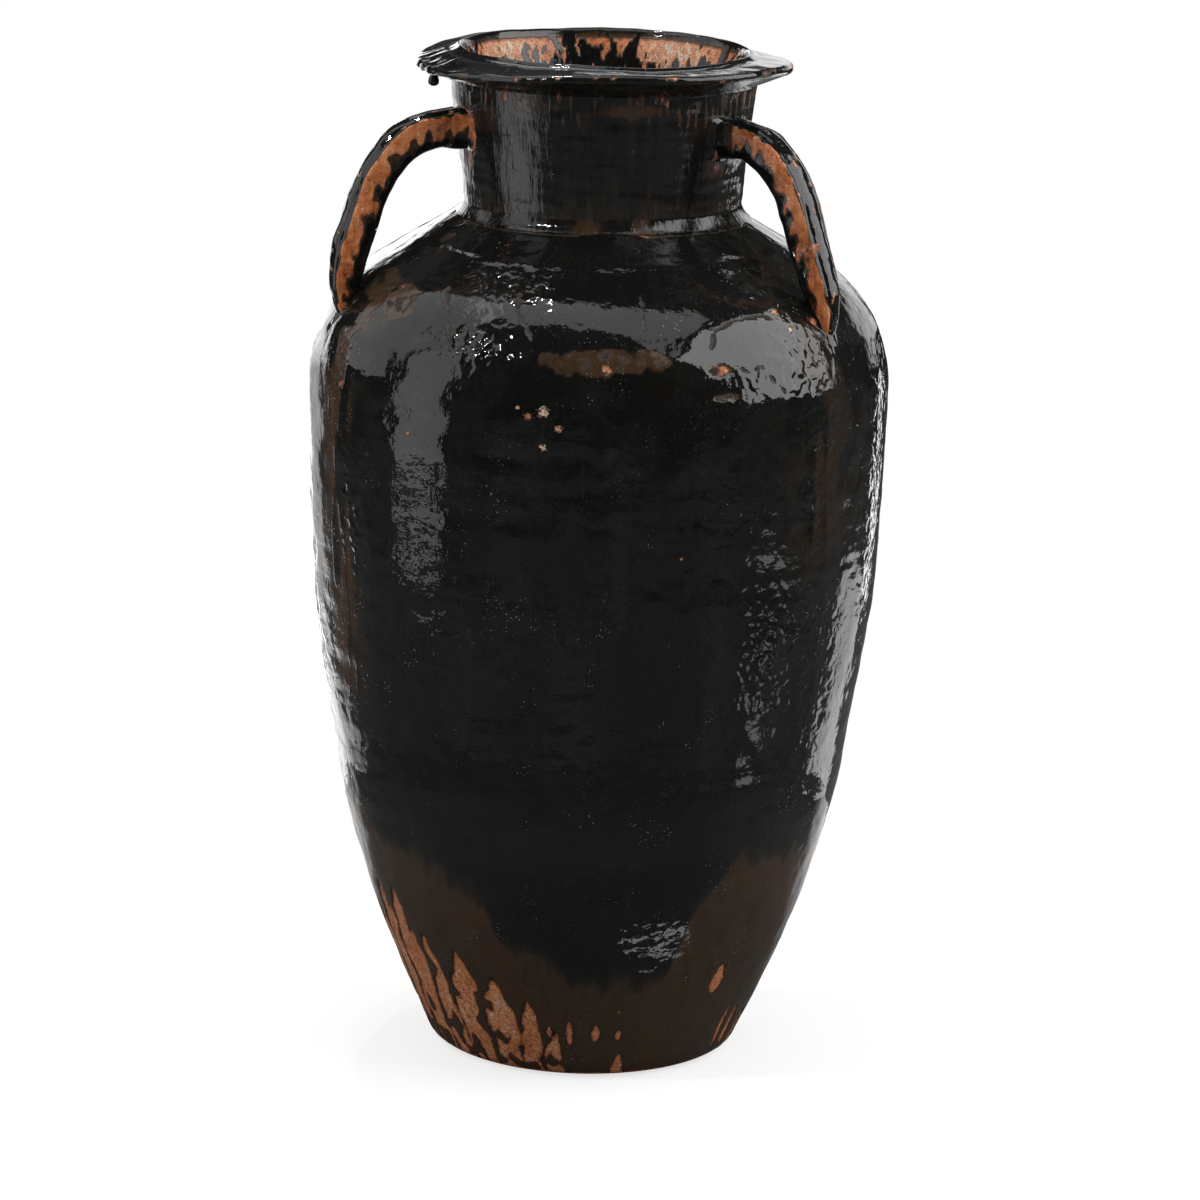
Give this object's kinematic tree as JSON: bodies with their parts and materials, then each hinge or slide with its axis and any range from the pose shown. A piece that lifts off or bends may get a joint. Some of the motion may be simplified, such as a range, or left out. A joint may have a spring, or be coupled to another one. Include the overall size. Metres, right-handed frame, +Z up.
{
  "type": "martaban jar",
  "caption": "Tall glazed stoneware storage jar with a wide neck, flat everted rim and strap handles from the neck to the shoulder.",
  "frame": {"origin": "centre of the foot, on the ground", "axes": "+Z up along the jar's axis; +Y towards the back handle, so that the two front handles are mirror images in X"},
  "size_m": [0.434, 0.4338, 0.7601],
  "materials": {
    "glazed_wall": "thick uneven black-brown glaze, glossy",
    "glazed_neck": "thick black glaze with rust runs, glossy",
    "glazed_rim": "thick black glaze with rust flecks, glossy",
    "glazed_handle": "black glaze thinned to rust orange, glossy",
    "foot_clay": "bare fired stoneware, matt",
    "run_glaze": "solid glaze, glossy"
  },
  "bodies": {
    "root": {"base_disc": "foot_clay", "lower_wall": "glazed_wall", "middle_wall": "glazed_wall", "upper_wall": "glazed_wall", "shoulder": "glazed_wall", "neck": "glazed_neck", "rim": "glazed_rim", "neck_foot_band": "glazed_neck", "handle_right": "glazed_handle", "handle_back": "glazed_handle", "handle_left": "glazed_handle", "handle_right_upper_pad": "glazed_handle", "handle_right_lower_pad": "glazed_handle", "handle_back_upper_pad": "glazed_handle", "handle_back_lower_pad": "glazed_handle", "handle_left_upper_pad": "glazed_handle", "handle_left_lower_pad": "glazed_handle", "rim_glaze_drip": "run_glaze"}
  },
  "joints": []
}
